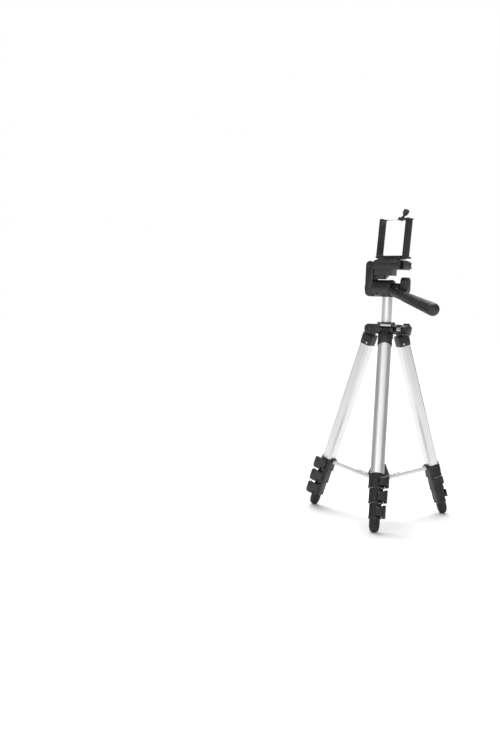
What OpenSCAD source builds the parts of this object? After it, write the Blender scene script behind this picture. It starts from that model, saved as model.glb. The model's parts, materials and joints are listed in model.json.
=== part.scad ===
// Small telescopic tripod with a side-arm pan and tilt head and a spring phone clamp.
// Millimetres, +Z up. The origin is on the floor, straight below the centre column.
// +X runs along the head's tilt axle, towards the handle end.

/* [Legs] */
// Angle of each leg from upright when the legs are fully spread
leg_splay = 18.2; // [16:0.2:20]
// Direction of the front leg, measured from -Y towards +X
leg_turn = 26; // [-60:1:60]
// Length of a folded leg from its hinge to the tip of its foot
leg_len = 280; // [260:5:340]
// Distance of the leg hinges from the column axis
hinge_r = 23.1; // [22.5:0.1:27]
// Width of the outer leg tube, across the leg
tube_w = 18.3; // [17.5:0.1:20]
// Depth of the outer leg tube, from its inner to its outer face
tube_d = 17; // [16.5:0.1:19]
// Wall of the leg tubes
tube_wall = 0.9; // [0.7:0.1:1]
// Clearance around each leg tube inside the next one
tube_slip = 0.35; // [0.3:0.05:0.4]
// Length of each inner leg tube
section_len = 200; // [170:5:205]
// Height of each lock collar
collar_h = 20; // [18:0.5:22]
// Wall of the lock collars
collar_wall = 1.5; // [1.3:0.1:1.8]
// Height of the rubber feet
foot_h = 17; // [15:0.5:20]
// Radius of the foot above its rounded edge
foot_r = 6; // [5.8:0.05:6.4]

/* [Brace] */
// Distance of the strut pivots below the leg hinges, along the leg
strut_drop = 206; // [190:1:208]
// Distance of the strut pivots inside the leg's centre line
strut_in = 13.6; // [13.4:0.1:15]
// Distance of the hub's pivots from the column axis
hub_pin_r = 15.5; // [14.5:0.1:17]
// Angle of the struts below level when the legs are spread
strut_slope = 11; // [8:0.5:14]
// Width of a strut
strut_w = 7; // [6.6:0.1:7.6]
// Height of a strut
strut_h = 5.6; // [5.4:0.1:6.4]

/* [Column] */
// Outer diameter of the centre column
column_dia = 14; // [13:0.5:15]
// Wall of the centre column
column_wall = 1.1; // [0.8:0.1:1.5]
// Length of the centre column
column_len = 198; // [180:1:205]
// Height of the column's top above the spider, as stored
column_rise = 35.8; // [33:0.2:60]

/* [Head] */
// Diameter of the tilt barrel
barrel_dia = 23.7; // [22:0.1:25]
// Length of the tilt barrel to the left of the column axis
barrel_left = 20; // [18:0.5:26]
// Diameter of the tilt axle
axle_dia = 8; // [7:0.5:9]
// Height of the tilt axle above the column's top
axle_rise = 11.5; // [11.4:0.1:15]
// Thickness of the side arm
arm_t = 12; // [8:0.2:13]
// Width of the side arm, front to back
arm_w = 16; // [15:0.5:20]
// Height of the flip pin above the tilt axle
flip_rise = 32.2; // [31.8:0.2:36]
// Width of the platform, along the axle
platform_w = 40; // [38:0.5:44]
// Depth of the platform, front to back
platform_d = 34.8; // [30:0.2:40]
// Length of the handle from its root to the centre of its round end
handle_len = 91; // [75:1:110]
// Diameter of the grip at its round end
grip_dia = 18; // [16:0.5:20]

/* [Phone clamp] */
// Turn of the clamp on the camera screw
clamp_turn = -15; // [-45:1:45]
// Gap between the jaws with the clamp closed
jaw_gap = 45; // [42:0.5:60]
// Height of the jaws above the clamp's bar
jaw_h = 52; // [40:1:60]
// Thickness of a jaw
jaw_t = 3.6; // [3.2:0.1:4.4]
// Depth of a jaw, front to back
jaw_d = 11; // [8:0.1:12]
// Backward lean of the jaws
jaw_lean = 4.3; // [0:0.1:6]
// How far the sliding jaw opens
jaw_travel = 30; // [15:1:31]
// Diameter of the camera screw
camera_screw_dia = 6.35; // [6:0.05:6.6]

/* [Hidden] */
$fn = 48;
// Gap between pieces that are fixed together
fit = 0.05;
// Radial clearance of pins and shafts that turn
run = 0.05;
// Clearance between moving faces
gap = 0.3;
over = 1;

// Leg hinge, with the rounded edge of the foot's flat tip resting on the floor
foot_edge = 2.6;
foot_flat = foot_r - foot_edge;
foot_top_r = 7.3;
hinge_z = (leg_len - foot_edge) * cos(leg_splay) + foot_flat * sin(leg_splay) + foot_edge;
hinge_pin_r = 2;
tongue_w = 10;
tongue_r = 5.9;
ear_t = 4.4;
ear_r = 6.8;
spider_top = hinge_z + 10;
spider_bottom = hinge_z - 14;
sleeve_r = 10.5;
flange_r = 12.5;
flange_t = 4.5;

// The sleeve at the top of each leg
top_w = tube_w + 1.4;
top_d = tube_d + 1.8;
top_drop = 23.3;
top_shoulder = 8.5;
top_socket = 10.6;
strip_w = 5.2;
strip_t = 0.8;

// Heights on a leg are counted up from the tip of its foot
ledge = 5;
function section_w(k) = tube_w - 2 * (k - 1) * (tube_wall + tube_slip);
function section_d(k) = tube_d - 2 * (k - 1) * (tube_wall + tube_slip);
function collar_base(k) = foot_h + gap + (3 - k) * (collar_h + gap);
foot_socket = 6.5;
function tube_base(k) = k < 4 ? collar_base(k) + ledge : foot_socket;
function tube_tip(k) = k == 1 ? leg_len - top_socket : tube_base(k) + section_len;

// Lock levers
lever_r = 2.2;
lever_pin_r = 1.2;
lever_x = -3.5;
lever_out = 2;
lever_lip = 1.2;
// Height of the lever's ears above the collar's ends
lever_inset = 3;
lever_reach = 18.6;
lever_tall = 17;
function collar_half(k) = section_w(k) / 2 + collar_wall;

// Brace: the strut pivots on the leg and on the hub, with the legs spread
pivot_r = 1.2;
tongue_t = 4.4;
strut_wall = 1;
pivot_x = hinge_r + strut_drop * sin(leg_splay) - strut_in * cos(leg_splay);
pivot_z = hinge_z - strut_drop * cos(leg_splay) - strut_in * sin(leg_splay);
strut_len = (pivot_x - hub_pin_r) / cos(strut_slope);
hub_pin_z = pivot_z - strut_len * sin(strut_slope);
hub_r = 8;
hub_neck_r = 4.4;
hub_h = 22;
// The strut's top is cut back at its ends, so that a tongue has room between its sides
leg_notch = 3.6;
hub_notch = 20;

// Column
column_r = column_dia / 2;
column_top = spider_top + column_rise;
post_r = 4;
lock_r = 2;
lock_z = hinge_z + 0.6;
lock_turn = leg_turn + 60;
post_h = 5.5;
flange_top_r = 8;
flange_top_h = 1.25;
knob_x = 28.6;
knob_t = 9;

// Head
axle_r = axle_dia / 2;
axle_z = column_top + axle_rise;
barrel_r = barrel_dia / 2;
barrel_end = 2.5;
ring_end = 8.5;
hub_end = 20.5;
arm_x = -barrel_left - 0.4 - arm_t;
flip_x = arm_x + arm_t / 2;
flip_z = axle_z + flip_rise;
flip_r = 2;
flip_tongue_w = 8;
flip_tongue_r = 4.5;
slab_x = flip_x + 11;
slab_z = flip_z - 5.5;
slab_t = 8;
slab_end = slab_x + platform_w;
rim_t = 3;
rim_h = 4;
plate_z = slab_z + slab_t + 0.2;
plate_t = 5;
screw_x = slab_x + platform_w / 2 - 0.2;
catch_x = slab_end + 1.7;
catch_y = platform_d / 2 - 4;
catch_r = 2.6;
catch_pin_r = 1.2;
catch_lip = 1.4;
catch_low = 2;
catch_high = 10;

// Handle: from its root on the head, outwards, forwards and down
handle_root = [12, -8, axle_z - 4.2];
handle_turn = -25.8;
handle_dip = 14.3;
stem_r = 6.5;
stem_len = 24;
rod_r = 3;
paddle_t = 10;
paddle_r = 6.4;
paddle_rise = 9.6;

// Phone clamp, from the top of the quick-release plate
seat_z = plate_z + plate_t + 0.3;
boss_h = 0.6;
bar_h = 5;
bar_w = 13;
bar_top = seat_z + boss_h + bar_h;
slider_w = 8;
slider_h = 2.4;
jaw_in = jaw_gap / 2;
screw_r = camera_screw_dia / 2;
hook_len = 16.5;
hook_turn = 30;
thumb_r = 4.1;

FRONT = 0;
LEFT = -120;
RIGHT = 120;

// ---- helpers ----

// Stands a leg's upright parts at its hinge: +X points away from the column
module at_hinge(side) {
    rotate([0, 0, leg_turn + side - 90]) translate([hinge_r, 0, hinge_z]) children();
}

// The frame of a leg, from its hinge down to its foot
module on_leg(side) {
    at_hinge(side) rotate([0, -leg_splay, 0]) children();
}

// The same, with heights counted up from the tip of the foot
module up_leg(side, height) {
    on_leg(side) translate([0, 0, height - leg_len]) children();
}

// Outline of a leg tube: a round outer face, flat sides and cut inner corners
module leg_outline(w, d) {
    cut = d * 0.16;
    intersection() {
        translate([d / 2 - w * 0.62, 0]) circle(r = w * 0.62);
        polygon([[-d / 2, cut - w / 2], [cut - d / 2, -w / 2], [d / 2, -w / 2],
            [d / 2, w / 2], [cut - d / 2, w / 2], [-d / 2, w / 2 - cut]]);
    }
}

module rod_x(r, x0, x1) {
    translate([x0, 0, 0]) rotate([0, 90, 0]) cylinder(r = r, h = x1 - x0);
}

module rod_y(r, y0, y1) {
    translate([0, y1, 0]) rotate([90, 0, 0]) cylinder(r = r, h = y1 - y0);
}

module block(x0, x1, y0, y1, z0, z1) {
    translate([x0, y0, z0]) cube([x1 - x0, y1 - y0, z1 - z0]);
}

// ---- spider and column ----

module spider() {
    color("dimgray") difference() {
        union() {
            translate([0, 0, spider_bottom]) cylinder(r = sleeve_r, h = spider_top - spider_bottom);
            translate([0, 0, spider_top - flange_t]) cylinder(r = flange_r, h = flange_t - 0.8);
            translate([0, 0, spider_top - 0.8]) cylinder(r1 = flange_r, r2 = flange_r - 0.8, h = 0.8);
            for (side = [FRONT, LEFT, RIGHT]) at_hinge(side) spider_ears();
            at_hinge(FRONT) badge_hood();
            rotate([0, 0, lock_turn - 90]) translate([0, 0, lock_z]) rod_x(5.2, sleeve_r - 2, 18);
        }
        translate([0, 0, spider_bottom - over])
            cylinder(r = column_r + run, h = spider_top - spider_bottom + 2 * over);
        for (side = [FRONT, LEFT, RIGHT]) at_hinge(side)
            rod_y(hinge_pin_r + run, -tongue_w - over, tongue_w + over);
        rotate([0, 0, lock_turn - 90]) translate([0, 0, lock_z]) rod_x(lock_r + run, column_r - over, 20);
    }
}

// Two ears hold a leg's tongue between them
module spider_ears() {
    inner = tongue_w / 2 + gap;
    for (flip = [0, 1]) mirror([0, flip, 0]) {
        rod_y(ear_r, inner, inner + ear_t);
        block(sleeve_r - hinge_r - 4, 0, inner, inner + ear_t, -ear_r, ear_r);
    }
    block(sleeve_r - hinge_r - 3, 4 - hinge_r + sleeve_r, -inner, inner, -ear_r, ear_r);
}

// A visor over the front leg's ears, which carries the badge
module badge_hood() {
    lip = ear_r + 1.5;
    block(sleeve_r - hinge_r - 2, lip, -8.9, 8.9, ear_r - 0.5, ear_r + 1.9);
    block(lip - 1.5, lip, -8.9, 8.9, ear_r - 2.6, ear_r + 1.9);
}

// Blank plate on the front of the hood
module badge() {
    color("gainsboro") at_hinge(FRONT)
        block(ear_r + 1.5 + fit, ear_r + 2.1 + fit, -7, 7, ear_r - 1.9, ear_r + 0.6);
}

module hinge_pins() {
    reach = tongue_w / 2 + gap + ear_t - 0.6;
    color("dimgray") for (side = [FRONT, LEFT, RIGHT]) at_hinge(side) rod_y(hinge_pin_r, -reach, reach);
}

module column_lock_knob() {
    color("dimgray") rotate([0, 0, lock_turn - 90]) translate([0, 0, lock_z]) {
        rod_x(lock_r, column_r + 2 * run, knob_x);
        rod_x(4, knob_x - 3, knob_x);
        rod_x(6.8, knob_x - 0.1, knob_x + knob_t);
        for (lobe = [0:4]) rotate([72 * lobe, 0, 0]) translate([0, 0, 6.5])
            rod_x(2.5, knob_x + 0.5, knob_x + knob_t - 0.7);
    }
}

module column_tube() {
    color("silver") translate([0, 0, column_top - column_len]) difference() {
        cylinder(r = column_r, h = column_len);
        translate([0, 0, -over]) cylinder(r = column_r - column_wall, h = column_len + 2 * over);
    }
}

// Plug in the column's top, with the post that the head pans on
module pan_post() {
    color("gray") translate([0, 0, column_top]) {
        translate([0, 0, -14]) cylinder(r = column_r - column_wall - fit, h = 14 + over);
        translate([0, 0, fit]) cylinder(r = flange_top_r, h = flange_top_h - fit);
        cylinder(r = post_r, h = post_h);
    }
}

// ---- legs ----

module leg_top(side) {
    tongue_x = top_d / 2 - 1.9;
    color("dimgray") on_leg(side) difference() {
        union() {
            translate([0, 0, -top_drop]) linear_extrude(top_drop - top_shoulder) leg_outline(top_w, top_d);
            rod_y(tongue_r, -tongue_w / 2, tongue_w / 2);
            block(-tongue_r, tongue_x, -tongue_w / 2, tongue_w / 2, -top_shoulder - over, 0);
            block(tongue_x - over, tongue_x + strip_t, -strip_w / 2, strip_w / 2, -top_shoulder - over, 0.4);
            block(top_d / 2 - over, top_d / 2 + strip_t, -strip_w / 2, strip_w / 2, -top_drop + 2.6,
                -top_shoulder);
        }
        rod_y(hinge_pin_r + run, -top_w, top_w);
        translate([0, 0, -top_drop - over]) linear_extrude(top_drop - top_socket + over + fit)
            leg_outline(tube_w + 2 * fit, tube_d + 2 * fit);
        arch_r = 17;
        translate([0, 0, -top_drop - arch_r + 2.2]) rod_x(arch_r, 0, top_d);
    }
}

module leg_tube(side, k) {
    w = section_w(k);
    d = section_d(k);
    len = tube_tip(k) - tube_base(k);
    color("silver") up_leg(side, tube_base(k)) difference() {
        linear_extrude(len) leg_outline(w, d);
        translate([0, 0, -over]) linear_extrude(len + 2 * over)
            leg_outline(w - 2 * tube_wall, d - 2 * tube_wall);
    }
}

module leg_collar(side, k) {
    w = section_w(k);
    d = section_d(k);
    half = collar_half(k);
    deep = d + 2 * collar_wall;
    arch_r = 26;
    color("dimgray") up_leg(side, collar_base(k)) difference() {
        union() {
            intersection() {
                linear_extrude(collar_h) leg_outline(2 * half, deep);
                translate([0, 0, collar_h - arch_r]) rod_x(arch_r, -deep, deep);
            }
            linear_extrude(1.6) leg_outline(2 * half + 0.9, deep + 0.9);
            collar_ears(half);
            if (k == 1) strut_tongue();
        }
        translate([0, 0, ledge]) linear_extrude(collar_h) leg_outline(w + 2 * fit, d + 2 * fit);
        translate([0, 0, -over]) linear_extrude(collar_h)
            leg_outline(section_w(k + 1) + 2 * tube_slip, section_d(k + 1) + 2 * tube_slip);
        translate([lever_x, half + lever_out, lever_inset - over])
            cylinder(r = lever_pin_r + run, h = collar_h - 2 * lever_inset + 2 * over);
        translate([lever_x, half + lever_out, lever_inset + lever_lip])
            cylinder(r = lever_r + gap, h = collar_h - 2 * (lever_inset + lever_lip));
        translate([0, half * 0.38, 4.6]) rod_x(1.3, deep / 2 - 1.2, deep);
    }
}

// The pair of ears that a lock lever turns between
module collar_ears(half) {
    for (z = [lever_inset, collar_h - lever_inset - lever_lip]) translate([lever_x, half + lever_out, z]) {
        cylinder(r = lever_r + 0.3, h = lever_lip);
        translate([-lever_r - 0.3, -lever_out - 1, 0]) cube([2 * lever_r + 0.6, lever_out + 1, lever_lip]);
    }
}

// The tongue inside the first collar that a strut hangs on
module strut_tongue() {
    z = leg_len - strut_drop - collar_base(1);
    inner = section_d(1) / 2 + 0.6;
    difference() {
        union() {
            translate([-strut_in, 0, z]) rod_y(2, -tongue_t / 2, tongue_t / 2);
            block(-strut_in, -inner, -tongue_t / 2, tongue_t / 2, z - 2, z + 2);
        }
        translate([-strut_in, 0, z]) rod_y(pivot_r + run, -tongue_t, tongue_t);
    }
}

// Lock lever: a knuckle between the collar's ears, and a taller wing that reaches round the front corner
module leg_lever(side, k) {
    half = collar_half(k);
    low = lever_inset + lever_lip + gap;
    wing = lever_r + 1;
    color("dimgray") up_leg(side, collar_base(k)) translate([lever_x, half + lever_out, 0]) {
        translate([0, 0, low]) linear_extrude(collar_h - 2 * low) union() {
            circle(r = lever_r);
            polygon([[0, lever_r], [wing + 1, 2.6], [wing + 1, -0.8], [wing, -1.2], [0, -1.2]]);
        }
        intersection() {
            linear_extrude(lever_tall) polygon([[wing, lever_r], [6, 3.4], [10, 4.2], [13.5, 4], [16.5, 2],
                [lever_reach - 0.4, -1.5], [lever_reach, -5.5], [lever_reach - 0.5, -8.5],
                [lever_reach - 2.2, -8.7], [lever_reach - 2.2, -5], [15, -1.2], [13, 0.9], [9, 1.6],
                [6, 0.6], [wing, -1.2]]);
            rotate([90, 0, 0]) translate([0, 0, -12]) linear_extrude(24) polygon([[0, 0.2], [13, 0.2],
                [lever_reach + 0.1, 3.4], [lever_reach + 0.1, lever_tall - 5], [lever_reach - 5, lever_tall],
                [0, lever_tall]]);
        }
        translate([0, 0, lever_inset + 0.1]) cylinder(r = lever_pin_r, h = collar_h - 2 * lever_inset - 0.2);
    }
}

// Rubber foot: a flat tip with a rounded edge, and a wider rim that takes the last tube
module leg_foot(side) {
    color("black") up_leg(side, 0) difference() {
        union() {
            cylinder(r = foot_flat, h = foot_h);
            translate([0, 0, foot_edge]) rotate_extrude() translate([foot_flat, 0, 0]) circle(r = foot_edge);
            translate([0, 0, foot_edge])
                cylinder(r1 = foot_r, r2 = foot_top_r - 0.3, h = foot_socket - foot_edge);
            translate([0, 0, foot_socket - 0.1])
                cylinder(r1 = foot_top_r - 0.35, r2 = foot_top_r, h = foot_h - foot_socket + 0.1);
        }
        translate([0, 0, foot_socket - fit]) linear_extrude(foot_h)
            leg_outline(section_w(4) + 2 * fit, section_d(4) + 2 * fit);
    }
}

// ---- brace ----

// Stands a strut's frame at its pivot on the leg: +X runs along the strut to the hub
module on_strut(side) {
    rotate([0, 0, leg_turn + side - 90]) translate([pivot_x, 0, pivot_z])
        mirror([1, 0, 0]) rotate([0, strut_slope, 0]) children();
}

module leg_strut(side) {
    r = strut_h / 2;
    color("silver") on_strut(side) {
        difference() {
            union() {
                rod_y(r, -strut_w / 2, strut_w / 2);
                block(0, strut_len, -strut_w / 2, strut_w / 2, -r, r);
                translate([strut_len, 0, 0]) rod_y(r, -strut_w / 2, strut_w / 2);
            }
            block(-strut_h, strut_len + strut_h, strut_wall - strut_w / 2, strut_w / 2 - strut_wall,
                -strut_h, r - strut_wall);
            for (notch = [[-strut_h, leg_notch], [strut_len - hub_notch, strut_len + strut_h]])
                block(notch[0], notch[1], strut_wall - strut_w / 2, strut_w / 2 - strut_wall,
                    -strut_h, strut_h);
        }
        rod_y(pivot_r, -strut_w / 2, strut_w / 2);
        for (x = [0, strut_len], flip = [0, 1]) mirror([0, flip, 0]) translate([x, 0, 0])
            rod_y(2, strut_w / 2 - 0.1, strut_w / 2 + 0.6);
    }
}

// Hub of the brace: a tapered boss with a tongue for each strut's forked end
module brace_hub() {
    color("dimgray") translate([0, 0, hub_pin_z]) {
        translate([0, 0, 3.5]) cylinder(r1 = hub_r, r2 = hub_neck_r, h = hub_h - 6);
        translate([0, 0, hub_h - 2.6]) cylinder(r = hub_neck_r, h = 2.6);
        translate([0, 0, 3.5]) cylinder(r = hub_r + 0.6, h = 3);
        for (side = [FRONT, LEFT, RIGHT]) rotate([0, 0, leg_turn + side - 90]) hub_tongue();
    }
}

// Tongue with the strut's pivot hole, and the rib that carries it
module hub_tongue() {
    difference() {
        union() {
            translate([hub_pin_r, 0, 0]) rod_y(2, -tongue_t / 2, tongue_t / 2);
            rotate([90, 0, 0]) translate([0, 0, -tongue_t / 2]) linear_extrude(tongue_t)
                polygon([[4, 3.5], [hub_pin_r - 1.5, -1.3], [hub_pin_r + 1.8, 0.8], [hub_pin_r + 0.9, 4],
                    [hub_r + 1.6, hub_h - 3], [4, hub_h - 1]]);
        }
        translate([hub_pin_r, 0, 0]) rod_y(pivot_r + run, -tongue_t, tongue_t);
    }
}

// ---- head ----

module pan_base() {
    color("dimgray") difference() {
        union() {
            translate([0, 0, axle_z - barrel_r]) cylinder(r = 9.6, h = barrel_r);
            translate([0, 0, axle_z]) {
                rod_x(barrel_r, -barrel_left, barrel_end);
                rod_x(barrel_r + 0.4, barrel_end, ring_end - 1.5);
                translate([ring_end - 1.5, 0, 0]) rotate([0, 90, 0])
                    cylinder(r1 = barrel_r + 0.4, r2 = barrel_r - 1.1, h = 1.5);
            }
        }
        translate([0, 0, axle_z]) rod_x(axle_r + run, -barrel_left - over, ring_end + over);
        translate([0, 0, column_top]) cylinder(r = post_r + run, h = post_h + gap);
        translate([0, 0, column_top - 10]) cylinder(r = flange_top_r + gap, h = 10 + flange_top_h + gap);
        translate([-12, 0, axle_z - 7]) rod_y(1.5, -barrel_r, 3.6 - barrel_r);
        block(ring_end, ring_end + 4, -barrel_r, barrel_r, axle_z - barrel_r - over, axle_z);
    }
}

module tilt_axle() {
    color("silver") translate([0, 0, axle_z]) {
        rod_x(axle_r, arm_x + 1.5, hub_end);
        rod_x(axle_r - 1, hub_end - over, hub_end + 8);
    }
}

// Upright arm, keyed on the axle's end and forked at its top for the flip hinge
module side_arm() {
    corner = arm_t * 0.6;
    foot_z = axle_z - barrel_r;
    half = flip_tongue_w / 2 + gap;
    rounded = [for (a = [180:15:270]) [arm_x + corner * (1 + cos(a)), foot_z + corner * (1 + sin(a))]];
    color("dimgray") difference() {
        union() {
            translate([0, arm_w / 2, 0]) rotate([90, 0, 0]) linear_extrude(arm_w)
                polygon(concat(rounded, [[arm_x + arm_t, foot_z], [arm_x + arm_t, flip_z], [arm_x, flip_z]]));
            translate([flip_x, 0, flip_z]) rod_y(arm_t / 2, -arm_w / 2, arm_w / 2);
            translate([0, 0, axle_z]) rod_x(7.6, arm_x - 0.8, arm_x + arm_t);
        }
        translate([0, 0, axle_z]) rod_x(axle_r + fit, arm_x + 1.5 - fit, 0);
        block(arm_x - over, arm_x + arm_t + over, -half, half, flip_z - flip_tongue_r - 1, flip_z + 10);
        translate([flip_x, 0, flip_z]) rod_y(flip_r + run, -arm_w, arm_w);
    }
}

// Paddle that locks the tilt, on the threaded end of the axle
module tilt_lever() {
    x0 = hub_end + 1.2;
    color("dimgray") translate([0, 0, axle_z]) difference() {
        union() {
            rod_x(6, hub_end + gap, x0 + 1);
            rod_x(6.5, x0, x0 + paddle_t);
            translate([0, 0, paddle_rise]) rod_x(paddle_r, x0, x0 + paddle_t);
            block(x0, x0 + paddle_t, -paddle_r, paddle_r, 0, paddle_rise);
        }
        rod_x(axle_r - 1 + run, hub_end - over, hub_end + 8.1);
    }
}

// The handle's frame: +X runs along the handle, from its root
module on_handle() {
    translate(handle_root) rotate([0, 0, handle_turn]) rotate([0, handle_dip, 0]) children();
}

module handle_stem() {
    color("dimgray") difference() {
        union() {
            translate([0, 0, axle_z]) rod_x(8, ring_end + gap, hub_end);
            on_handle() {
                rod_x(stem_r, 0, stem_len);
                sphere(r = stem_r);
                rod_x(rod_r, stem_len - over, stem_len + 30);
            }
        }
        translate([0, 0, axle_z]) rod_x(axle_r + fit, 0, hub_end + over);
        block(-10, ring_end + gap, -20, 20, axle_z - 20, axle_z + 20);
    }
}

// Tapered grip with ribs on both sides
module handle_grip() {
    end_r = grip_dia / 2;
    start = stem_len + gap;
    color("black") on_handle() difference() {
        union() {
            translate([start, 0, 0]) rotate([0, 90, 0])
                cylinder(r1 = end_r - 2.2, r2 = end_r, h = handle_len - start);
            translate([handle_len, 0, 0]) sphere(r = end_r);
        }
        rod_x(rod_r + run, start - over, stem_len + 30 + gap);
    }
}

// Platform on a side hinge, so that it flips upright
module platform() {
    half = platform_d / 2;
    under = slab_z - 8.6;
    color("dimgray") difference() {
        union() {
            block(slab_x, slab_end, -half, half, slab_z, slab_z + slab_t);
            block(slab_x, slab_x + rim_t, -half, half, slab_z, slab_z + slab_t + rim_h);
            block(slab_end - rim_t, slab_end, -half, half, slab_z, slab_z + slab_t + rim_h);
            block(slab_x - 2.8, slab_x + 23, -10, 10, under, slab_z + 1);
            translate([0, 6, 0]) rotate([90, 0, 0]) linear_extrude(12)
                polygon([[slab_x - 2.8, under + 1], [slab_x - 2.8, under - 5.3],
                    [slab_x + 9, under - 5.3], [slab_x + 15, under + 1]]);
            translate([flip_x, 0, flip_z]) rod_y(flip_tongue_r, -flip_tongue_w / 2, flip_tongue_w / 2);
            block(flip_x, slab_x + 1, -flip_tongue_w / 2, flip_tongue_w / 2, flip_z - flip_tongue_r,
                flip_z + flip_tongue_r);
        }
        translate([flip_x, 0, flip_z]) rod_y(flip_r + run, -arm_w, arm_w);
        translate([screw_x, 0, slab_z + slab_t - 2.4]) cylinder(r = 7.6, h = 5);
    }
    color("dimgray") lever_bracket();
}

// Two lips at the platform's end that the plate lever turns between
module lever_bracket() {
    for (z = [catch_low, catch_high - catch_lip]) translate([0, 0, slab_z + z]) difference() {
        union() {
            translate([catch_x, catch_y, 0]) cylinder(r = catch_r, h = catch_lip);
            block(slab_end - 0.5, catch_x, catch_y - catch_r, catch_y + catch_r, 0, catch_lip);
        }
        translate([catch_x, catch_y, -over]) cylinder(r = catch_pin_r + run, h = catch_lip + 2 * over);
    }
}

// Pin of the flip hinge with its lock knob at the back of the arm
module flip_knob() {
    back = arm_w / 2;
    color("dimgray") translate([flip_x, 0, flip_z]) {
        rod_y(flip_r, -back - 0.4, back + 2);
        rod_y(3.2, -back - 1.2, -back - 0.2);
        rod_y(6, back + 0.2 + gap, back + 7);
        for (lobe = [0:2]) rotate([0, 120 * lobe, 0]) translate([0, 0, 6]) rod_y(2.4, back + 1, back + 6.6);
    }
}

// Cam lever along the platform's end that frees the plate
module plate_lever() {
    low = catch_low + catch_lip + gap;
    wing = catch_r + 0.6;
    color("dimgray") translate([catch_x, catch_y, slab_z]) {
        translate([0, 0, low]) linear_extrude(catch_high - catch_lip - gap - low) union() {
            circle(r = 1.4);
            polygon([[-1.3, 0], [-1.3, -wing - 1], [1.6, -wing - 1], [1.4, 0]]);
        }
        translate([0, 0, 0.3]) linear_extrude(slab_t + rim_h - 0.6)
            polygon([[-1.3, -wing], [-1.3, -17], [-0.6, -24.5], [2, -25.5], [2.3, -24], [1.7, -16],
                [1.6, -wing]]);
        translate([0, 0, catch_low + 0.1]) cylinder(r = catch_pin_r, h = catch_high - catch_low - 0.2);
    }
}

module quick_release_plate() {
    half = platform_d / 2 - 0.4;
    x0 = slab_x + rim_t + gap;
    x1 = slab_end - rim_t - gap;
    color("dimgray") difference() {
        block(x0, x1, -half, half, plate_z, plate_z + plate_t);
        translate([screw_x, 0, plate_z - over]) cylinder(r = screw_r + 0.1, h = plate_t + 2 * over);
        translate([screw_x, 0, plate_z - over]) cylinder(r = 7.2, h = over + 1.5);
    }
}

module camera_screw() {
    color("silver") translate([screw_x, 0, plate_z]) {
        cylinder(r = 7, h = 1.3);
        cylinder(r = screw_r, h = plate_t + 0.3 + boss_h + 0.8);
    }
}

// ---- phone clamp ----

// The clamp's frame: origin on the camera screw at the clamp's seat
module on_clamp() {
    translate([screw_x, 0, seat_z]) rotate([0, 0, clamp_turn]) children();
}

// Leans the jaws back about the top of the bar
module leaned() {
    translate([0, 0, boss_h + bar_h]) rotate([-jaw_lean, 0, 0]) children();
}

// Bar with a slot for the sliding jaw, and the fixed jaw at its left
module clamp_base() {
    top = boss_h + bar_h;
    left = -jaw_in - jaw_t;
    bar_end = 20;
    slot_z = boss_h + 1.4;
    half = bar_w / 2;
    color("dimgray") on_clamp() difference() {
        union() {
            cylinder(r = 6.4, h = boss_h + 0.1);
            translate([0, half, 0]) rotate([90, 0, 0]) linear_extrude(bar_w)
                polygon([[left, boss_h + 2.4], [left + 5.5, boss_h], [bar_end, boss_h], [bar_end, top],
                    [left, top]]);
            leaned() {
                block(left, left + jaw_t, -jaw_d / 2, jaw_d / 2, -over, jaw_h);
                block(left, left + jaw_t + 1.2, -jaw_d / 2, jaw_d / 2, jaw_h - 1.6, jaw_h);
                translate([left + jaw_t, jaw_d / 2, -0.5]) rotate([90, 0, 0]) linear_extrude(jaw_d)
                    polygon([[-0.5, 0], [2.4, 0], [2.4, 0.5], [0, 2.9], [-0.5, 2.9]]);
            }
        }
        block(-20.5, bar_end + over, -slider_w / 2 - gap, slider_w / 2 + gap,
            slot_z, slot_z + slider_h + gap);
        translate([0, 0, -over]) cylinder(r = screw_r + run, h = over + boss_h + 0.8 + gap);
    }
}

// Sliding jaw with its foot in the bar and a small hook at its top
module sliding_jaw() {
    foot_z = boss_h + 1.4 + gap / 2;
    hook_z = jaw_h - 2.4;
    color("dimgray") on_clamp() difference() {
        union() {
            block(-19.8, jaw_in + jaw_t - 0.4, -slider_w / 2, slider_w / 2, foot_z, foot_z + slider_h);
            block(jaw_in - over, jaw_in + jaw_t + 3, -jaw_d / 2 - 0.6, jaw_d / 2 + 0.6,
                foot_z - 0.6, foot_z + 2);
            leaned() {
                block(jaw_in, jaw_in + jaw_t, -jaw_d / 2, jaw_d / 2, -bar_h + 2, jaw_h);
                block(jaw_in, jaw_in + jaw_t + 1, -jaw_d / 2 - 0.2, jaw_d / 2 + 0.2,
                    jaw_h - 1.6, jaw_h + 0.2);
                block(jaw_in - hook_len, jaw_in + over, -2.6, 2.6, hook_z, hook_z + 2.2);
                block(jaw_in - hook_len, jaw_in - hook_len + 2, -2.6, 2.6, hook_z, hook_z + 4.2);
                on_hook() cylinder(r = 3, h = 4);
            }
        }
        leaned() on_hook() translate([0, 0, -2.5]) cylinder(r = 1.5 + run, h = 8);
    }
}

// Leaning seat of the thumb screw on the hook
module on_hook() {
    translate([jaw_in - hook_len + 5, 0, jaw_h - 1.4]) rotate([0, hook_turn, 0]) children();
}

module thumb_screw() {
    color("dimgray") on_clamp() leaned() on_hook() {
        translate([0, 0, -2]) cylinder(r = 1.5, h = 10);
        translate([0, 0, 6]) cylinder(r1 = 2, r2 = thumb_r, h = 4);
        translate([0, 0, 10]) cylinder(r = thumb_r, h = 4.6);
        translate([0, 0, 14.6]) cylinder(r1 = thumb_r, r2 = thumb_r - 1, h = 1.2);
    }
}

// ---- the model ----

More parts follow.
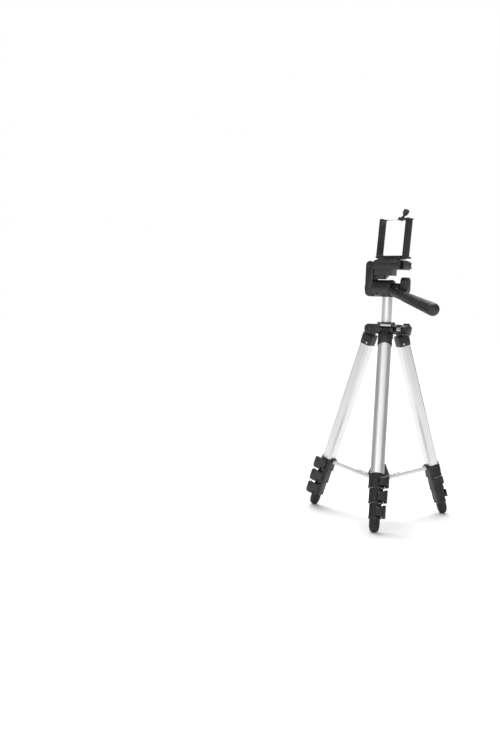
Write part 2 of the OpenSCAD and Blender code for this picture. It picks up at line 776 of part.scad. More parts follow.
spider();
badge();
hinge_pins();
column_lock_knob();
column_tube();
pan_post();
brace_hub();
leg_top(FRONT);  // front_leg_top
leg_top(LEFT);  // left_leg_top
leg_top(RIGHT);  // right_leg_top
leg_tube(FRONT, 1);  // front_tube_1
leg_tube(LEFT, 1);  // left_tube_1
leg_tube(RIGHT, 1);  // right_tube_1
leg_tube(FRONT, 2);  // front_tube_2
leg_tube(LEFT, 2);  // left_tube_2
leg_tube(RIGHT, 2);  // right_tube_2
leg_tube(FRONT, 3);  // front_tube_3
leg_tube(LEFT, 3);  // left_tube_3
leg_tube(RIGHT, 3);  // right_tube_3
leg_tube(FRONT, 4);  // front_tube_4
leg_tube(LEFT, 4);  // left_tube_4
leg_tube(RIGHT, 4);  // right_tube_4
leg_collar(FRONT, 1);  // front_collar_1
leg_collar(LEFT, 1);  // left_collar_1
leg_collar(RIGHT, 1);  // right_collar_1
leg_collar(FRONT, 2);  // front_collar_2
leg_collar(LEFT, 2);  // left_collar_2
leg_collar(RIGHT, 2);  // right_collar_2
leg_collar(FRONT, 3);  // front_collar_3
leg_collar(LEFT, 3);  // left_collar_3
leg_collar(RIGHT, 3);  // right_collar_3
leg_lever(FRONT, 1);  // front_lever_1
leg_lever(LEFT, 1);  // left_lever_1
leg_lever(RIGHT, 1);  // right_lever_1
leg_lever(FRONT, 2);  // front_lever_2
leg_lever(LEFT, 2);  // left_lever_2
leg_lever(RIGHT, 2);  // right_lever_2
leg_lever(FRONT, 3);  // front_lever_3
leg_lever(LEFT, 3);  // left_lever_3
leg_lever(RIGHT, 3);  // right_lever_3
leg_foot(FRONT);  // front_foot
leg_foot(LEFT);  // left_foot
leg_foot(RIGHT);  // right_foot
leg_strut(FRONT);  // front_strut
leg_strut(LEFT);  // left_strut
leg_strut(RIGHT);  // right_strut
pan_base();
tilt_axle();
side_arm();
tilt_lever();
handle_stem();
handle_grip();
platform();
flip_knob();
plate_lever();
quick_release_plate();
camera_screw();
clamp_base();
sliding_jaw();
thumb_screw();
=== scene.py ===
# %% [markdown]
# # A small phone tripod
# The CAD model holds every size, joint and place. This lesson gives it its looks: softened edges on the
# moulded parts, ribbed rubber, drawn aluminium, screws, threads and pads, and light to see them by. All
# lengths are in metres, in the CAD model's own frame, so nothing here has to be fitted afterwards.

# %% Load the frame
import json
import math

import bpy
from mathutils import Matrix, Vector

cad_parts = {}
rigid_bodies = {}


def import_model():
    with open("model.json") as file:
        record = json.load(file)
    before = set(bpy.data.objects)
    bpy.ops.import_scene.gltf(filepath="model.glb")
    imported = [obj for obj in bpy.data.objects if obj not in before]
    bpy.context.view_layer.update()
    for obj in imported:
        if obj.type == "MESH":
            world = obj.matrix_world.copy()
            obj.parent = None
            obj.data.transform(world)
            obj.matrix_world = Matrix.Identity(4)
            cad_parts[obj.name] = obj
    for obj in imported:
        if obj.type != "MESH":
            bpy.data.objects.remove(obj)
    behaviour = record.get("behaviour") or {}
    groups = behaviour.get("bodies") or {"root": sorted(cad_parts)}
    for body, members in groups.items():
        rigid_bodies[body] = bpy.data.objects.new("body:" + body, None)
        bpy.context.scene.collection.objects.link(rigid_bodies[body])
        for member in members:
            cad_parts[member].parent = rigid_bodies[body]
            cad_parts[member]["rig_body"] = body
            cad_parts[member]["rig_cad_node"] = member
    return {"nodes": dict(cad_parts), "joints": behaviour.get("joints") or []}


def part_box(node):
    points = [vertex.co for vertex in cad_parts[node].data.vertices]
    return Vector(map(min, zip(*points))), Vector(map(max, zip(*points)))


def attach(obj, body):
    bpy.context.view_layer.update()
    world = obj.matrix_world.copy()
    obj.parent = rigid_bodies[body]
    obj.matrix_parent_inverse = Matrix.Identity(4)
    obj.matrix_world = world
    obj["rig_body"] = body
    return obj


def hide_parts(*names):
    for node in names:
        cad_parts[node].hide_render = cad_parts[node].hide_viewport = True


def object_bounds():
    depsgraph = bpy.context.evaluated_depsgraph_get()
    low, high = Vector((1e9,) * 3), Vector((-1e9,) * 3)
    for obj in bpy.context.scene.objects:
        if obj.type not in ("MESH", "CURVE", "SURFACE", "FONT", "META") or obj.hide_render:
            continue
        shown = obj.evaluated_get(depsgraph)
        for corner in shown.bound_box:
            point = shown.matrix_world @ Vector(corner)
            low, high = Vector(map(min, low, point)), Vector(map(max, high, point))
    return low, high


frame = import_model()
cad_low, cad_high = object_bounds()
joints = {joint["name"]: joint for joint in frame["joints"]}
SIDES = ("front", "left", "right")
MM = 0.001

# %% [markdown]
# ## Local frames
# A leg leans, the handle dips and the clamp is turned on its screw, so their parts don't line up with X,
# Y and Z. The joints know their own axes, so each of these gets a small frame built from a joint's place
# and axis, and a node is measured in that frame. This is surer than typing angles a second time.


# %% Frames from the joints
def frame_from(origin, x_axis, z_axis):
    """A matrix that stands at origin, with its X and Z along the two given directions."""
    x_axis = Vector(x_axis).normalized()
    y_axis = Vector(z_axis).cross(x_axis).normalized()
    z_axis = x_axis.cross(y_axis)
    turned = Matrix((x_axis, y_axis, z_axis)).transposed().to_4x4()
    return Matrix.Translation(Vector(origin)) @ turned


def leg_frame(side):
    """Z runs up the leg from its hinge and X points away from the column."""
    fold = joints[side + "_leg_fold"]
    up = -Vector(joints[side + "_section_2_slide"]["axis"])
    return frame_from(fold["pos_m"], Vector(fold["axis"]).cross(up), up)


def box_in(node, place):
    """A CAD node's lowest and highest corners, measured in a local frame."""
    back = place.inverted()
    corners = [back @ vertex.co for vertex in frame["nodes"][node].data.vertices]
    low = Vector(min(c[i] for c in corners) for i in range(3))
    high = Vector(max(c[i] for c in corners) for i in range(3))
    return low, high


LEGS = {side: leg_frame(side) for side in SIDES}
HANDLE = frame_from(joints["grip_twist"]["pos_m"], joints["grip_twist"]["axis"], (0, 0, 1))
CLAMP = frame_from(joints["clamp_turn"]["pos_m"], joints["jaw_slide"]["axis"], (0, 0, 1))
print("front foot in its leg's frame", box_in("front_foot", LEGS["front"]))

# %% [markdown]
# ## Camera and light
# The tripod stands well to the right of the middle and a little below it, seen from a metre and a half
# away at about the height of its spider. The camera's roll is small, but the upright column shows it, so
# it is kept. Two wide soft lamps stand in front, one on each side of the camera, so that a round tube
# mirrors them in a bright core and the greyer room at its edges. A wide sun from behind lights the whole
# floor alike.

# %% Camera
CAMERA_AROUND = math.radians(27.2)
CAMERA_FAR = 1.442
CAMERA_HIGH = 0.2973
CAMERA_YAW = math.radians(-7.54)
CAMERA_PITCH = math.radians(-4.12)
CAMERA_ROLL = math.radians(2.37)

camera_data = bpy.data.cameras.new("camera")
camera_data.sensor_width = 36
camera_data.lens = 48.5
camera_data.clip_end = 30
camera = bpy.data.objects.new("camera", camera_data)
bpy.context.scene.collection.objects.link(camera)
standing = Matrix.Rotation(CAMERA_AROUND, 4, "Z") @ Matrix.Translation((0, -CAMERA_FAR, CAMERA_HIGH))
aimed = Matrix.Rotation(-CAMERA_YAW, 4, "Z") @ Matrix.Rotation(math.radians(90) + CAMERA_PITCH, 4, "X")
camera.matrix_world = standing @ aimed @ Matrix.Rotation(CAMERA_ROLL, 4, "Z")
bpy.context.scene.camera = camera
print("camera at", camera.matrix_world.translation)


# %% Lamps and surround
def lamp(name, place, target, size, power):
    """A square soft lamp that faces its target."""
    data = bpy.data.lights.new(name, "AREA")
    data.size = size
    data.energy = power
    holder = bpy.data.objects.new(name, data)
    holder.location = place
    holder.rotation_euler = (Vector(target) - Vector(place)).to_track_quat("-Z", "Y").to_euler()
    bpy.context.scene.collection.objects.link(holder)


MIDDLE = (cad_low + cad_high) / 2
LAMP_SIZE = 1.1
LAMP_FAR = 1.5
LAMP_HIGH = 0.75
LAMP_POWERS = {6: 4.4, 46: 3.4}  # degrees round from the front, then watts
for around, power in LAMP_POWERS.items():
    turn = math.radians(around)
    where = (LAMP_FAR * math.sin(turn), -LAMP_FAR * math.cos(turn), LAMP_HIGH)
    lamp(f"soft_lamp_{around}", where, MIDDLE, LAMP_SIZE, power)
lamp("top_lamp", (0.0, 0.5, 1.6), MIDDLE, 1.0, 3)

sun_data = bpy.data.lights.new("wide_sun", "SUN")
sun_data.energy = 3.5
sun_data.angle = math.radians(50)
sun = bpy.data.objects.new("wide_sun", sun_data)
sun.rotation_euler = (math.radians(-38), 0, math.radians(40))
bpy.context.scene.collection.objects.link(sun)

# %% [markdown]
# The surround is white where it is seen directly and a mid grey where it only lights the tripod. That is
# the studio trick of a bright backdrop far behind a grey room: the backdrop stays clean and black stays
# black.

# %% Surround
ROOM_LIGHT = 0.36
BACKDROP_LIGHT = 1.0
world = bpy.data.worlds.new("white_room")
world.use_nodes = True
world_nodes, world_links = world.node_tree.nodes, world.node_tree.links
path = world_nodes.new("ShaderNodeLightPath")
strength = world_nodes.new("ShaderNodeMapRange")
strength.inputs["To Min"].default_value = ROOM_LIGHT
strength.inputs["To Max"].default_value = BACKDROP_LIGHT
world_nodes["Background"].inputs["Color"].default_value = (1, 1, 1, 1)
world_links.new(path.outputs["Is Camera Ray"], strength.inputs["Value"])
world_links.new(strength.outputs["Result"], world_nodes["Background"].inputs["Strength"])
bpy.context.scene.world = world
bpy.context.scene.view_settings.view_transform = "Standard"

# %% [markdown]
# ## Finishes
# Every finish is a Principled shader with its own fine structure. Moulded plastic has a spark-eroded
# grain a few tenths of a millimetre across and uneven gloss. Drawn and anodised tube has faint lines
# along its length, so its noise is stretched along the tube by a Mapping node that turns with each leg.
# The noise reads Object coordinates, which don't slide when a leg folds, and a scale of 1000 means one
# ripple a millimetre.


# %% Helpers for node materials
NOISE_LOW, NOISE_HIGH = 0.3, 0.7  # nearly all of a noise texture's values lie between these


def new_material(name, metallic, roughness):
    """A material with only its Principled shader and output, and those two nodes' links."""
    material = bpy.data.materials.new(name)
    material.use_nodes = True
    shader = material.node_tree.nodes["Principled BSDF"]
    shader.inputs["Metallic"].default_value = metallic
    shader.inputs["Roughness"].default_value = roughness
    return material, shader


def noise(material, scale, detail=3.0, turn=(0, 0, 0), stretch=(1, 1, 1)):
    """Noise on Object coordinates, turned and stretched before it is read."""
    nodes, links = material.node_tree.nodes, material.node_tree.links
    place = nodes.new("ShaderNodeTexCoord")
    mapping = nodes.new("ShaderNodeMapping")
    mapping.vector_type = "POINT"
    mapping.inputs["Rotation"].default_value = turn
    texture = nodes.new("ShaderNodeTexNoise")
    texture.inputs["Scale"].default_value = scale
    texture.inputs["Detail"].default_value = detail
    stretched = nodes.new("ShaderNodeVectorMath")
    stretched.operation = "MULTIPLY"
    stretched.inputs[1].default_value = stretch
    links.new(place.outputs["Object"], mapping.inputs["Vector"])
    links.new(mapping.outputs["Vector"], stretched.inputs[0])
    links.new(stretched.outputs["Vector"], texture.inputs["Vector"])
    return texture


def vary_colour(material, shader, texture, dark, light):
    """Colour between two tones, by a texture."""
    ramp = material.node_tree.nodes.new("ShaderNodeValToRGB")
    ramp.color_ramp.elements[0].position = NOISE_LOW
    ramp.color_ramp.elements[0].color = (*dark, 1)
    ramp.color_ramp.elements[1].position = NOISE_HIGH
    ramp.color_ramp.elements[1].color = (*light, 1)
    material.node_tree.links.new(texture.outputs["Fac"], ramp.inputs["Fac"])
    material.node_tree.links.new(ramp.outputs["Color"], shader.inputs["Base Color"])


def vary_roughness(material, shader, texture, low, high):
    """Roughness between two values, by a texture."""
    spread = material.node_tree.nodes.new("ShaderNodeMapRange")
    spread.inputs["From Min"].default_value = NOISE_LOW
    spread.inputs["From Max"].default_value = NOISE_HIGH
    spread.inputs["To Min"].default_value = low
    spread.inputs["To Max"].default_value = high
    material.node_tree.links.new(texture.outputs["Fac"], spread.inputs["Value"])
    material.node_tree.links.new(spread.outputs["Result"], shader.inputs["Roughness"])


def add_bump(material, shader, texture, strength, height):
    """Fine relief on the surface, by a texture."""
    bump = material.node_tree.nodes.new("ShaderNodeBump")
    bump.inputs["Strength"].default_value = strength
    bump.inputs["Distance"].default_value = height
    material.node_tree.links.new(texture.outputs["Fac"], bump.inputs["Height"])
    material.node_tree.links.new(bump.outputs["Normal"], shader.inputs["Normal"])


# %% Moulded plastics and rubber
COLOUR_SPOTS = 90  # ripples a metre
GLOSS_SPOTS = 260
GRAIN_DEEP = 0.00008
LINES_DEEP = 0.00003


def moulded(name, tone, gloss, grain, relief):
    """Moulded plastic or rubber: a fine grain, uneven gloss and a little uneven colour."""
    material, shader = new_material(name, 0.0, gloss)
    vary_colour(material, shader, noise(material, COLOUR_SPOTS),
                [c * 0.8 for c in tone], [c * 1.25 for c in tone])
    vary_roughness(material, shader, noise(material, GLOSS_SPOTS), gloss - 0.06, gloss + 0.08)
    add_bump(material, shader, noise(material, grain, 2.0), relief, GRAIN_DEEP)
    return material


black_plastic = moulded("black_plastic", (0.012, 0.012, 0.0125), 0.4, 2600, 0.35)
clamp_plastic = moulded("clamp_plastic", (0.013, 0.013, 0.0135), 0.36, 3200, 0.25)
post_plastic = moulded("post_plastic", (0.018, 0.018, 0.019), 0.45, 2600, 0.3)
grip_rubber = moulded("grip_rubber", (0.014, 0.014, 0.0145), 0.5, 1800, 0.5)
foot_rubber = moulded("foot_rubber", (0.011, 0.011, 0.011), 0.62, 1500, 0.6)
pad_rubber = moulded("pad_rubber", (0.02, 0.02, 0.02), 0.7, 1500, 0.6)


# %% Metals
def drawn_metal(name, tone, gloss, along, relief=0.12):
    """Satin metal with faint lines along one direction, which becomes the pattern's Z."""
    material, shader = new_material(name, 1.0, gloss)
    turn = Vector(along).rotation_difference(Vector((0, 0, 1))).to_euler()
    lines = noise(material, 1, 2.0, turn, (2600, 2600, 22))
    vary_colour(material, shader, noise(material, 1, 3.0, turn, (120, 120, 14)),
                [c * 0.95 for c in tone], [min(1, c * 1.03) for c in tone])
    vary_roughness(material, shader, lines, gloss - 0.05, gloss + 0.06)
    add_bump(material, shader, lines, relief, LINES_DEEP)
    return material


TUBE_TONE = (0.74, 0.745, 0.755)
leg_metal = {side: drawn_metal(side + "_tube_metal", TUBE_TONE, 0.34, LEGS[side].col[2].xyz)
             for side in SIDES}
column_metal = drawn_metal("column_metal", TUBE_TONE, 0.3, (0, 0, 1))
strut_metal = {side: drawn_metal(side + "_strut_metal", (0.62, 0.63, 0.64), 0.38, LEGS[side].col[0].xyz)
               for side in SIDES}
steel = drawn_metal("plated_steel", (0.62, 0.62, 0.63), 0.28, (1, 0, 0), 0.08)
dark_steel = drawn_metal("blackened_steel", (0.09, 0.09, 0.09), 0.36, (1, 0, 0), 0.08)
badge_metal = drawn_metal("badge_metal", (0.5, 0.5, 0.51), 0.36, (1, 0, 0), 0.1)

# %% [markdown]
# ## Softened parts
# No moulding has a knife edge, and a black part with sharp edges looks drawn. The CAD mesh itself is
# never changed, so each part is copied, its loose triangles are merged and its flat faces joined again,
# and a narrow bevel is put on every edge that turns sharply. The copy stands for the CAD node and rides
# on the same body.


# %% Selecting and softening
MERGE_WITHIN = 0.000005
FLAT_WITHIN = math.radians(0.6)
SHARP_OVER = math.radians(35)


def choose(piece):
    """Selects one object alone and makes it active."""
    bpy.ops.object.select_all(action="DESELECT")
    piece.hide_set(False)
    piece.select_set(True)
    bpy.context.view_layer.objects.active = piece


def smooth(piece, angle=32):
    """Smooth shading that keeps edges sharper than the angle crisp."""
    choose(piece)
    bpy.ops.object.shade_smooth_by_angle(angle=math.radians(angle))


def paint(piece, material):
    """One material all over."""
    piece.data.materials.clear()
    piece.data.materials.append(material)


def softened(node, width, material, segments=2):
    """A copy of a CAD node with its sharp edges rounded, standing for the node on the same body."""
    source = frame["nodes"][node]
    choose(source)
    bpy.ops.object.duplicate()
    piece = bpy.context.active_object
    piece.name = node + "_part"
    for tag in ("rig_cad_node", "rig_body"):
        if tag in piece:
            del piece[tag]
    piece.parent = None
    piece.matrix_world = Matrix.Identity(4)
    bpy.ops.object.mode_set(mode="EDIT")
    bpy.ops.mesh.select_all(action="SELECT")
    bpy.ops.mesh.remove_doubles(threshold=MERGE_WITHIN)
    bpy.ops.mesh.dissolve_limited(angle_limit=FLAT_WITHIN)
    bpy.ops.object.mode_set(mode="OBJECT")
    bevel = piece.modifiers.new("edges", "BEVEL")
    bevel.width = width
    bevel.segments = segments
    bevel.limit_method = "ANGLE"
    bevel.angle_limit = SHARP_OVER
    bevel.use_clamp_overlap = True
    bpy.ops.object.modifier_apply(modifier=bevel.name)
    smooth(piece)
    paint(piece, material)
    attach(piece, source["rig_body"])
    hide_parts(node)
    return piece


# %% Black parts
FINE = 0.25 * MM
SOFT = 0.45 * MM
TINY = 0.12 * MM
BLACK_PARTS = {"spider": SOFT, "brace_hub": SOFT, "pan_base": SOFT, "side_arm": 0.8 * MM, "handle_stem": SOFT,
               "platform": SOFT, "flip_knob": SOFT, "plate_lever": FINE, "quick_release_plate": FINE,
               "column_lock_knob": SOFT, "tilt_lever": 1.3 * MM, "thumb_screw": FINE}
for node, width in BLACK_PARTS.items():
    softened(node, width, black_plastic)
for side in SIDES:
    softened(side + "_leg_top", SOFT, black_plastic)
    for k in (1, 2, 3):
        softened(f"{side}_collar_{k}", FINE, black_plastic)
        softened(f"{side}_lever_{k}", FINE, black_plastic)
softened("clamp_base", FINE, clamp_plastic)
softened("sliding_jaw", FINE, clamp_plastic)
softened("pan_post", FINE, post_plastic)
for side in SIDES:
    softened(side + "_strut", FINE, strut_metal[side])
softened("badge", TINY, badge_metal)
softened("hinge_pins", TINY, dark_steel)
for node in ("tilt_axle", "camera_screw"):
    softened(node, TINY, steel)

# %% [markdown]
# A tube has no rounded edge that could be seen, so its CAD mesh is shown as it is, in its own metal.

# %% Tubes keep their CAD mesh
frame["nodes"]["column_tube"].data.materials.clear()
frame["nodes"]["column_tube"].data.materials.append(column_metal)
for side in SIDES:
    for k in (1, 2, 3, 4):
        tube = frame["nodes"][f"{side}_tube_{k}"]
        tube.data.materials.clear()
        tube.data.materials.append(leg_metal[side])

# %% [markdown]
# ## Turned parts
# Grips, feet, screws and threads are round, and a lathe makes them from a profile. Here a disc is
# extruded along Z and resized at each step, which gives the same rings and leaves no seam to close. A
# profile is a list of heights and radii, so ribs and threads are made by a loop.


# %% Turning
def turned(name, profile, sides=32):
    """A round piece along Z, drawn out ring by ring through its profile's heights and radii."""
    bpy.ops.object.select_all(action="DESELECT")
    height, radius = profile[0]
    bpy.ops.mesh.primitive_circle_add(vertices=sides, radius=radius, fill_type="NGON")
    piece = bpy.context.active_object
    piece.name = name
    bpy.ops.object.mode_set(mode="EDIT")
    bpy.ops.mesh.select_all(action="SELECT")
    bpy.ops.transform.translate(value=(0, 0, height))
    for next_height, next_radius in profile[1:]:
        bpy.ops.mesh.extrude_region_move(TRANSFORM_OT_translate={"value": (0, 0, next_height - height)})
        ratio = next_radius / radius
        bpy.ops.transform.resize(value=(ratio, ratio, 1), center_override=(0, 0, next_height))
        height, radius = next_height, next_radius
    bpy.ops.mesh.select_all(action="SELECT")
    bpy.ops.mesh.normals_make_consistent(inside=False)
    bpy.ops.object.mode_set(mode="OBJECT")
    return piece


def place(piece, matrix, material, slot, body, *nodes):
    """Puts a finished shape where it belongs, with the place in its mesh."""
    piece.data.transform(matrix)
    smooth(piece, 40)
    paint(piece, material)
    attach(piece, body)
    if nodes:
        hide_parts(*nodes)
    return piece


def ribs(start, end, count, radius_at, depth):
    """Profile steps for evenly spaced round ribs between two heights."""
    pitch = (end - start) / count
    steps = []
    for i in range(count):
        for along, sunk in ((0.1, 1.0), (0.3, 0.25), (0.5, 0.0), (0.7, 0.25), (0.9, 1.0)):
            height = start + (i + along) * pitch
            steps.append((height, radius_at(height) - depth * sunk))
    return steps


ALONG_X = Matrix.Rotation(math.radians(90), 4, "Y")

# %% [markdown]
# ## Handle grip
# The grip is a tapered rubber sleeve with a round end. Fine ribs run across it, and a smooth strip is
# sunk into each side for the thumb. The strip is picked by place, inset and pressed flat, as a moulding
# tool would do.

# %% Grip
grip_low, grip_high = box_in("handle_grip", HANDLE)
grip_end_r = (grip_high.y - grip_low.y) / 2
grip_ball = grip_high.x - grip_end_r
GRIP_THIN = 2.2 * MM  # how much slimmer the sleeve is at its root
GRIP_RIBS = 30
RIB_DEEP = 0.35 * MM
STRIP_FROM = 22 * MM  # where the thumb strips begin, past the first rib
STRIP_SUNK = 2.3 * MM


def grip_radius(along):
    """Radius of the tapered sleeve at a place along it."""
    return grip_end_r - GRIP_THIN * (grip_ball - along) / (grip_ball - grip_low.x)


rib_start, rib_end = grip_low.x + 4 * MM, grip_ball - 1 * MM
profile = [(grip_low.x, grip_radius(grip_low.x) - 0.5 * MM), (grip_low.x + 0.5 * MM, grip_radius(grip_low.x))]
profile += ribs(rib_start, rib_end, GRIP_RIBS, grip_radius, RIB_DEEP)
for step in range(9):
    turn = math.radians(10 * step)
    profile.append((grip_ball + grip_end_r * math.sin(turn), grip_end_r * math.cos(turn)))
grip = turned("grip_sleeve", profile, 48)
bpy.ops.object.mode_set(mode="EDIT")
bpy.ops.mesh.select_mode(type="FACE")
for side_of in (-1, 1):
    bpy.ops.mesh.select_all(action="DESELECT")
    bpy.ops.object.mode_set(mode="OBJECT")
    for face in grip.data.polygons:
        middle = face.center
        beside = side_of * middle.y > 3 * abs(middle.x) and abs(face.normal.z) < 0.95
        face.select = beside and rib_start + STRIP_FROM < middle.z < grip_ball + 1 * MM
    bpy.ops.object.mode_set(mode="EDIT")
    bpy.ops.mesh.inset(thickness=0.3 * MM, depth=0)
    bpy.ops.transform.resize(value=(1, 0, 1), center_override=(0, side_of * (grip_end_r - STRIP_SUNK), 0))
bpy.ops.object.mode_set(mode="OBJECT")
place(grip, HANDLE @ ALONG_X, grip_rubber, "grip_rubber", "grip", "handle_grip")
print("grip", round(grip_high.x - grip_low.x, 4), "long,", len(grip.data.polygons), "faces")

# %% [markdown]
# ## Feet
# Each foot is a rubber boot with grooves round it, so that it bends a little and grips. Its flat tip has
# a rounded edge, which is all that touches the floor while the legs are spread.

# %% Feet
for side in SIDES:
    foot_low, foot_high = box_in(side + "_foot", LEGS[side])
    tall, wide = foot_high.z - foot_low.z, (foot_high.y - foot_low.y) / 2
    tip, socket, edge = wide - 1.3 * MM, 6.5 * MM, 2.6 * MM
    profile = [(edge * (1 - math.cos(math.radians(a))), tip - edge * (1 - math.sin(math.radians(a))))
               for a in (0, 22, 45, 68, 90)]
    profile += [(socket, wide - 0.3 * MM)]
    profile += ribs(socket + 0.2 * MM, tall - 2.5 * MM, 4, lambda z: wide, RIB_DEEP)
    profile += [(tall - 0.5 * MM, wide), (tall - 0.1 * MM, wide - 0.4 * MM)]
    foot = turned(side + "_boot", profile, 40)
    place(foot, LEGS[side] @ Matrix.Translation((0, 0, foot_low.z)), foot_rubber, "foot_rubber",
          side + "_section_4", side + "_foot")

# %% [markdown]
# ## Screws and threads
# A clamping screw closes each collar round its tube, and its head lies in a hole on the outer face. Two
# bright screws hold each leg's top casting on its tube. They are one shape: a low head with a turned edge
# and a slot.


# %% Screw heads
def screw_head(name, radius, tall):
    """A low screw head along Z with a slot cut across it."""
    head = turned(name, [(0, radius), (tall * 0.7, radius), (tall, radius * 0.8)], 24)
    bpy.ops.object.mode_set(mode="EDIT")
    bpy.ops.mesh.select_all(action="SELECT")
    bpy.ops.mesh.bisect(plane_co=(radius * 0.16, 0, 0), plane_no=(1, 0, 0))
    bpy.ops.mesh.select_all(action="SELECT")
    bpy.ops.mesh.bisect(plane_co=(-radius * 0.16, 0, 0), plane_no=(1, 0, 0))
    bpy.ops.mesh.select_all(action="DESELECT")
    bpy.ops.object.mode_set(mode="OBJECT")
    for face in head.data.polygons:
        face.select = abs(face.center.x) < radius * 0.1 and face.center.z > tall * 0.95
    bpy.ops.object.mode_set(mode="EDIT")
    bpy.ops.mesh.extrude_region_move(TRANSFORM_OT_translate={"value": (0, 0, -tall * 0.55)})
    bpy.ops.object.mode_set(mode="OBJECT")
    return head


def copied(piece, name):
    """A copy with its own mesh."""
    twin = piece.copy()
    twin.data = piece.data.copy()
    twin.name = name
    bpy.context.scene.collection.objects.link(twin)
    return twin


small_head = screw_head("small_head", 1.15 * MM, 0.8 * MM)
large_head = screw_head("large_head", 1.5 * MM, 0.9 * MM)
FLANGE = 0.45 * MM  # how far a collar's rims stand out from its faces
SCREW_SUNK = 1.1 * MM
SCREW_RISE = 4.6 * MM
for side in SIDES:
    for k in (1, 2, 3):
        low, high = box_in(f"{side}_collar_{k}", LEGS[side])
        half = -low.y - FLANGE
        hole = Matrix.Translation((high.x - FLANGE - SCREW_SUNK, half * 0.38, low.z + SCREW_RISE))
        body = side + "_leg" if k == 1 else f"{side}_section_{k}"
        place(copied(small_head, f"{side}_collar_screw_{k}"), LEGS[side] @ hole @ ALONG_X, dark_steel,
              "steel", body)
    low, high = box_in(side + "_leg_top", LEGS[side])
    for flip, name in ((1, "a"), (-1, "b")):
        lying = Matrix.Rotation(math.radians(-90 * flip), 4, "X")
        seat = Matrix.Translation((low.x + 4.6 * MM, flip * (high.y - 0.35 * MM), low.z + 3.2 * MM))
        place(copied(large_head, f"{side}_top_screw_{name}"), LEGS[side] @ seat @ lying, steel, "steel",
              side + "_leg")
for spare in (small_head, large_head):
    bpy.data.objects.remove(spare)

# %% [markdown]
# The lock knob's bolt is bare steel between the casting and the knob, so its thread shows. A thread this
# fine reads the same as a stack of rings, which is how it is turned here.

# %% Knob bolt
knob_joint = joints["column_knob_turn"]
KNOB = frame_from((0, 0, knob_joint["pos_m"][2]), knob_joint["axis"], (0, 0, 1))
knob_low, knob_high = box_in("column_lock_knob", KNOB)
BOLT_START = 18.1 * MM  # from the column's middle
HEAD_DEEP = 12.2 * MM  # from the knob's outer face to the end of the thread
BOLT_R, THREAD_DEEP, TURNS = 2.4 * MM, 0.3 * MM, 9
bolt_end = knob_high.x - HEAD_DEEP
bolt = turned("knob_bolt", ribs(BOLT_START, bolt_end, TURNS, lambda z: BOLT_R, THREAD_DEEP), 24)
place(bolt, KNOB @ ALONG_X, steel, "steel", "column_knob")

# %% [markdown]
# ## Ribs and pads
# Rubber pads on the jaws stop a phone from slipping, and the plate under the clamp carries a thin ribbed
# mat. Both start as a block. It is cut across where each groove begins and ends, and the faces between
# two cuts are pushed in. Each lock lever also has four raised ribs at its free end, where a fingertip
# pulls it open.


# %% Grooved slab
def grooved_slab(name, size, grooves, depth):
    """A block standing on X = 0, with level grooves pressed into the face that looks along +X."""
    bpy.ops.object.select_all(action="DESELECT")
    bpy.ops.mesh.primitive_cube_add(size=1)
    slab = bpy.context.active_object
    slab.name = name
    bpy.ops.object.mode_set(mode="EDIT")
    bpy.ops.mesh.select_all(action="SELECT")
    bpy.ops.transform.resize(value=size, center_override=(0, 0, 0))
    bpy.ops.transform.translate(value=(size[0] / 2, 0, 0))
    pitch = size[2] / (grooves + 1)
    starts = [(i + 1) * pitch - size[2] / 2 - pitch * 0.2 for i in range(grooves)]
    for start in starts:
        for level in (start, start + pitch * 0.4):
            bpy.ops.mesh.select_all(action="SELECT")
            bpy.ops.mesh.bisect(plane_co=(0, 0, level), plane_no=(0, 0, 1))
    bpy.ops.mesh.select_mode(type="FACE")
    bpy.ops.mesh.select_all(action="DESELECT")
    bpy.ops.object.mode_set(mode="OBJECT")
    for face in slab.data.polygons:
        in_groove = any(start < face.center.z < start + pitch * 0.4 for start in starts)
        face.select = in_groove and face.normal.x > 0.9
    bpy.ops.object.mode_set(mode="EDIT")
    bpy.ops.mesh.extrude_region_move(TRANSFORM_OT_translate={"value": (-depth, 0, 0)})
    bpy.ops.object.mode_set(mode="OBJECT")
    return slab


# %% Jaw pads
base_low, base_high = box_in("clamp_base", CLAMP)
back = CLAMP.inverted()
base_points = [back @ vertex.co for vertex in frame["nodes"]["clamp_base"].data.vertices]
jaw_tip = [point for point in base_points if point.z > base_high.z - 3 * MM]
tip_y = (min(point.y for point in jaw_tip) + max(point.y for point in jaw_tip)) / 2
BAR_TOP = 5.6 * MM  # the bar's top face above the clamp's foot
JAW_THICK = 3.6 * MM
jaw_tall = base_high.z - BAR_TOP
LEANED = CLAMP @ Matrix.Translation((0, 0, BAR_TOP)) @ Matrix.Rotation(-math.atan2(tip_y, jaw_tall), 4, "X")
fixed_face = base_low.x + JAW_THICK
PAD = (0.3 * MM, 7.6 * MM, 36 * MM)
PAD_GROOVES, PAD_GROOVE_DEEP = 11, 0.22 * MM
pad_middle = jaw_tall * 0.5
fixed_pad = grooved_slab("fixed_jaw_pad", PAD, PAD_GROOVES, PAD_GROOVE_DEEP)
place(fixed_pad, LEANED @ Matrix.Translation((fixed_face, 0, pad_middle)), pad_rubber,
      "black_plastic", "clamp")
moving_pad = grooved_slab("sliding_jaw_pad", PAD, PAD_GROOVES, PAD_GROOVE_DEEP)
facing = Matrix.Rotation(math.radians(180), 4, "Z")
place(moving_pad, LEANED @ Matrix.Translation((-fixed_face, 0, pad_middle)) @ facing, pad_rubber,
      "black_plastic", "jaw")
print("jaws lean", round(math.degrees(math.atan2(tip_y, jaw_tall)), 2), "degrees")

# %% [markdown]
# A thin bright rod joins the jaws near their tops. It is fixed in the still jaw and has a rounded edge at
# each end.

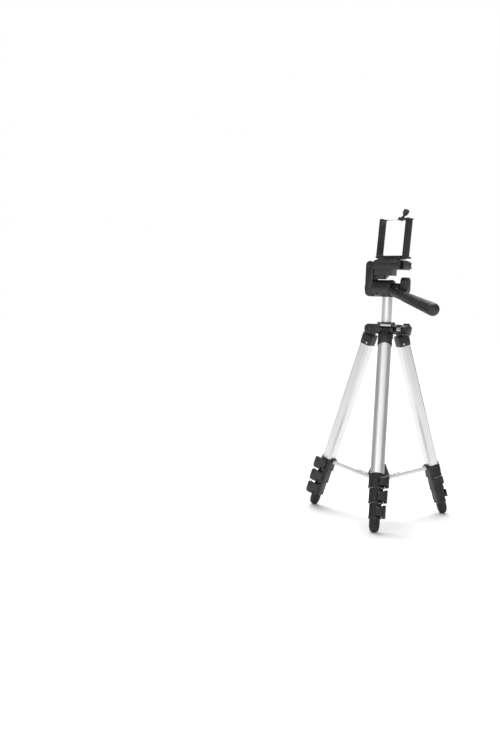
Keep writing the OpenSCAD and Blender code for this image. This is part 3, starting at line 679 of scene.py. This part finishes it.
# %% Guide rod
ROD = 0.75 * MM
rod_level = jaw_tall - 1.3 * MM
rod_long = -2 * fixed_face
rod_profile = [(0, ROD * 0.7), (ROD * 0.4, ROD), (rod_long - ROD, ROD), (rod_long, ROD * 0.7)]
rod = turned("guide_rod", rod_profile, 20)
place(rod, LEANED @ Matrix.Translation((fixed_face, 0, rod_level)) @ ALONG_X, steel, "steel", "clamp")

# %% [markdown]
# The mat is the same grooved slab laid flat, a little smaller than the plate all round.

# %% Plate mat
MAT_EDGE = 1.5 * MM
plate_low, plate_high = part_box("quick_release_plate")
MAT = (0.2 * MM, plate_high[0] - plate_low[0] - 2 * MAT_EDGE, plate_high[1] - plate_low[1] - 2 * MAT_EDGE)
mat = grooved_slab("plate_mat", MAT, 14, 0.15 * MM)
plate_middle = ((plate_low[0] + plate_high[0]) / 2, (plate_low[1] + plate_high[1]) / 2, plate_high[2])
lying = frame_from(plate_middle, (0, 0, 1), (0, 1, 0))
place(mat, lying, pad_rubber, "black_plastic", "plate")

# %% [markdown]
# One lever rib is turned and an Array modifier repeats it in a row. Each lever then gets its own copy of
# the row.

# %% Lever ribs
RIB = 0.4 * MM
RIB_PITCH = 1.5 * MM
RIB_SUNK = 0.28 * MM
rib_tall = 8 * MM
rib = turned("lever_rib", [(0, RIB * 0.3), (RIB * 0.5, RIB * 0.8), (RIB, RIB), (rib_tall - RIB, RIB),
                           (rib_tall - RIB * 0.5, RIB * 0.8), (rib_tall, RIB * 0.3)], 12)
choose(rib)
array = rib.modifiers.new("row", "ARRAY")
array.count = 4
array.use_relative_offset = False
array.use_constant_offset = True
array.constant_offset_displace = (0, -RIB_PITCH, 0)
bpy.ops.object.modifier_apply(modifier=array.name)
for side in SIDES:
    for k in (1, 2, 3):
        turn_joint = joints[f"{side}_lever_{k}_turn"]
        pivot = LEGS[side].inverted() @ Vector(turn_joint["pos_m"])
        low, high = box_in(f"{side}_lever_{k}", LEGS[side])
        seat = Matrix.Translation((high.x - RIB_SUNK, pivot.y - 2.6 * MM, low.z + 3.6 * MM))
        place(copied(rib, f"{side}_lever_ribs_{k}"), LEGS[side] @ seat, black_plastic, "black_plastic",
              f"{side}_lock_{k}")
bpy.data.objects.remove(rib)

# %% [markdown]
# ## Floor
# A wide pale plane, large enough that its edge lies beyond every view of the tripod.

# %% Floor
bpy.ops.object.select_all(action="DESELECT")
bpy.ops.mesh.primitive_plane_add(size=16, location=(0, 0, 0))
floor = bpy.context.active_object
floor.name = "floor"
floor_material, floor_shader = new_material("floor_white", 0.0, 0.5)
floor_shader.inputs["Base Color"].default_value = (0.92, 0.92, 0.92, 1)
floor_shader.inputs["Specular IOR Level"].default_value = 0.0
floor.data.materials.append(floor_material)
